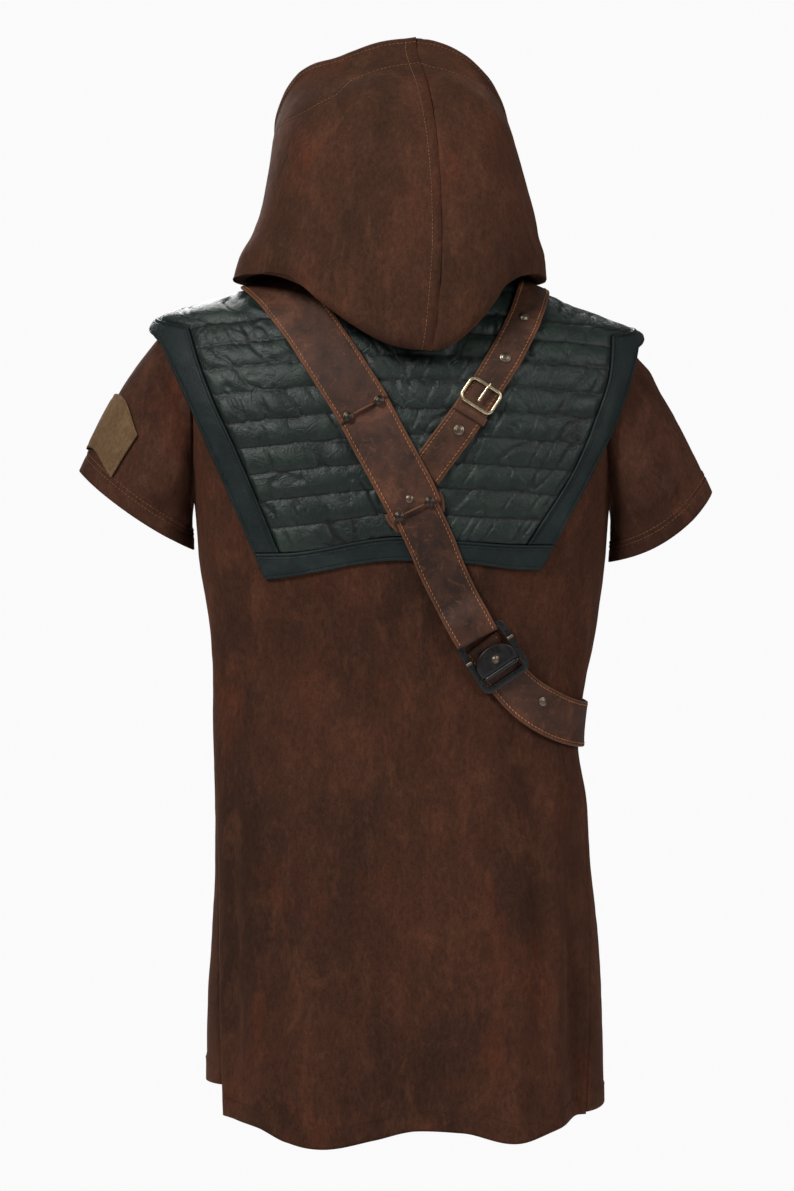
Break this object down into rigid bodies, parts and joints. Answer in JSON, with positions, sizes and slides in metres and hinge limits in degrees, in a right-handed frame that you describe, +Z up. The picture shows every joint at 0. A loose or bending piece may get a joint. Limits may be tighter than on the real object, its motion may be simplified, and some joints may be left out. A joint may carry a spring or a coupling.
{
  "type": "hooded tunic",
  "caption": "Worn-form hooded suede tunic with short sleeves, quilted leather yoke, side vents and a riveted leather baldric harness.",
  "frame": {"origin": "midway between the shoulders, at the height where the neck leaves them, where the wearer holds the garment up", "axes": "+Z up; the wearer faces +Y, so the back with its harness is on -Y; +X is the wearer's right"},
  "size_m": [0.717, 0.3269, 1.2259],
  "materials": {
    "body_suede": "brushed suede",
    "sleeve_suede": "brushed suede",
    "hood_suede": "brushed suede",
    "patch_suede": "plain suede",
    "quilted_leather": "quilted nappa, satin",
    "band_leather": "smooth nappa, satin",
    "harness_leather": "waxed pull-up leather",
    "brass": "polished, worn",
    "bright_steel": "antiqued",
    "black_metal": "black lacquer"
  },
  "bodies": {
    "root": {"back_panel": "body_suede", "brass_frame": "brass", "brass_prong": "brass", "buckle_keeper": "harness_leather", "clasp_frame": "black_metal", "clasp_lip": "black_metal", "clasp_pin_left": "bright_steel", "clasp_pin_right": "bright_steel", "clasp_plate": "black_metal", "clasp_rivet": "bright_steel", "front_panel": "body_suede", "hood_left": "hood_suede", "hood_right": "hood_suede", "joint_backing": "harness_leather", "narrow_back": "harness_leather", "narrow_front": "harness_leather", "rivet_bright_1": "bright_steel", "rivet_bright_2": "bright_steel", "rivet_bright_3": "bright_steel", "rivet_bright_4": "bright_steel", "rivet_bright_5": "bright_steel", "rivet_bright_6": "bright_steel", "rivet_bright_7": "bright_steel", "rivet_bright_8": "bright_steel", "rivet_dark_1": "black_metal", "rivet_dark_2": "black_metal", "rivet_dark_3": "black_metal", "rivet_dark_4": "black_metal", "sleeve_left": "sleeve_suede", "sleeve_patch": "patch_suede", "sleeve_right": "sleeve_suede", "strap_front": "harness_leather", "strap_lower": "harness_leather", "strap_middle": "harness_leather", "strap_shoulder": "harness_leather", "strap_waist": "harness_leather", "yoke_back_band_foot": "band_leather", "yoke_back_band_left": "band_leather", "yoke_back_band_right": "band_leather", "yoke_back_quilt": "quilted_leather", "yoke_front_band_foot": "band_leather", "yoke_front_band_left": "band_leather", "yoke_front_band_right": "band_leather", "yoke_front_quilt": "quilted_leather"}
  },
  "joints": []
}
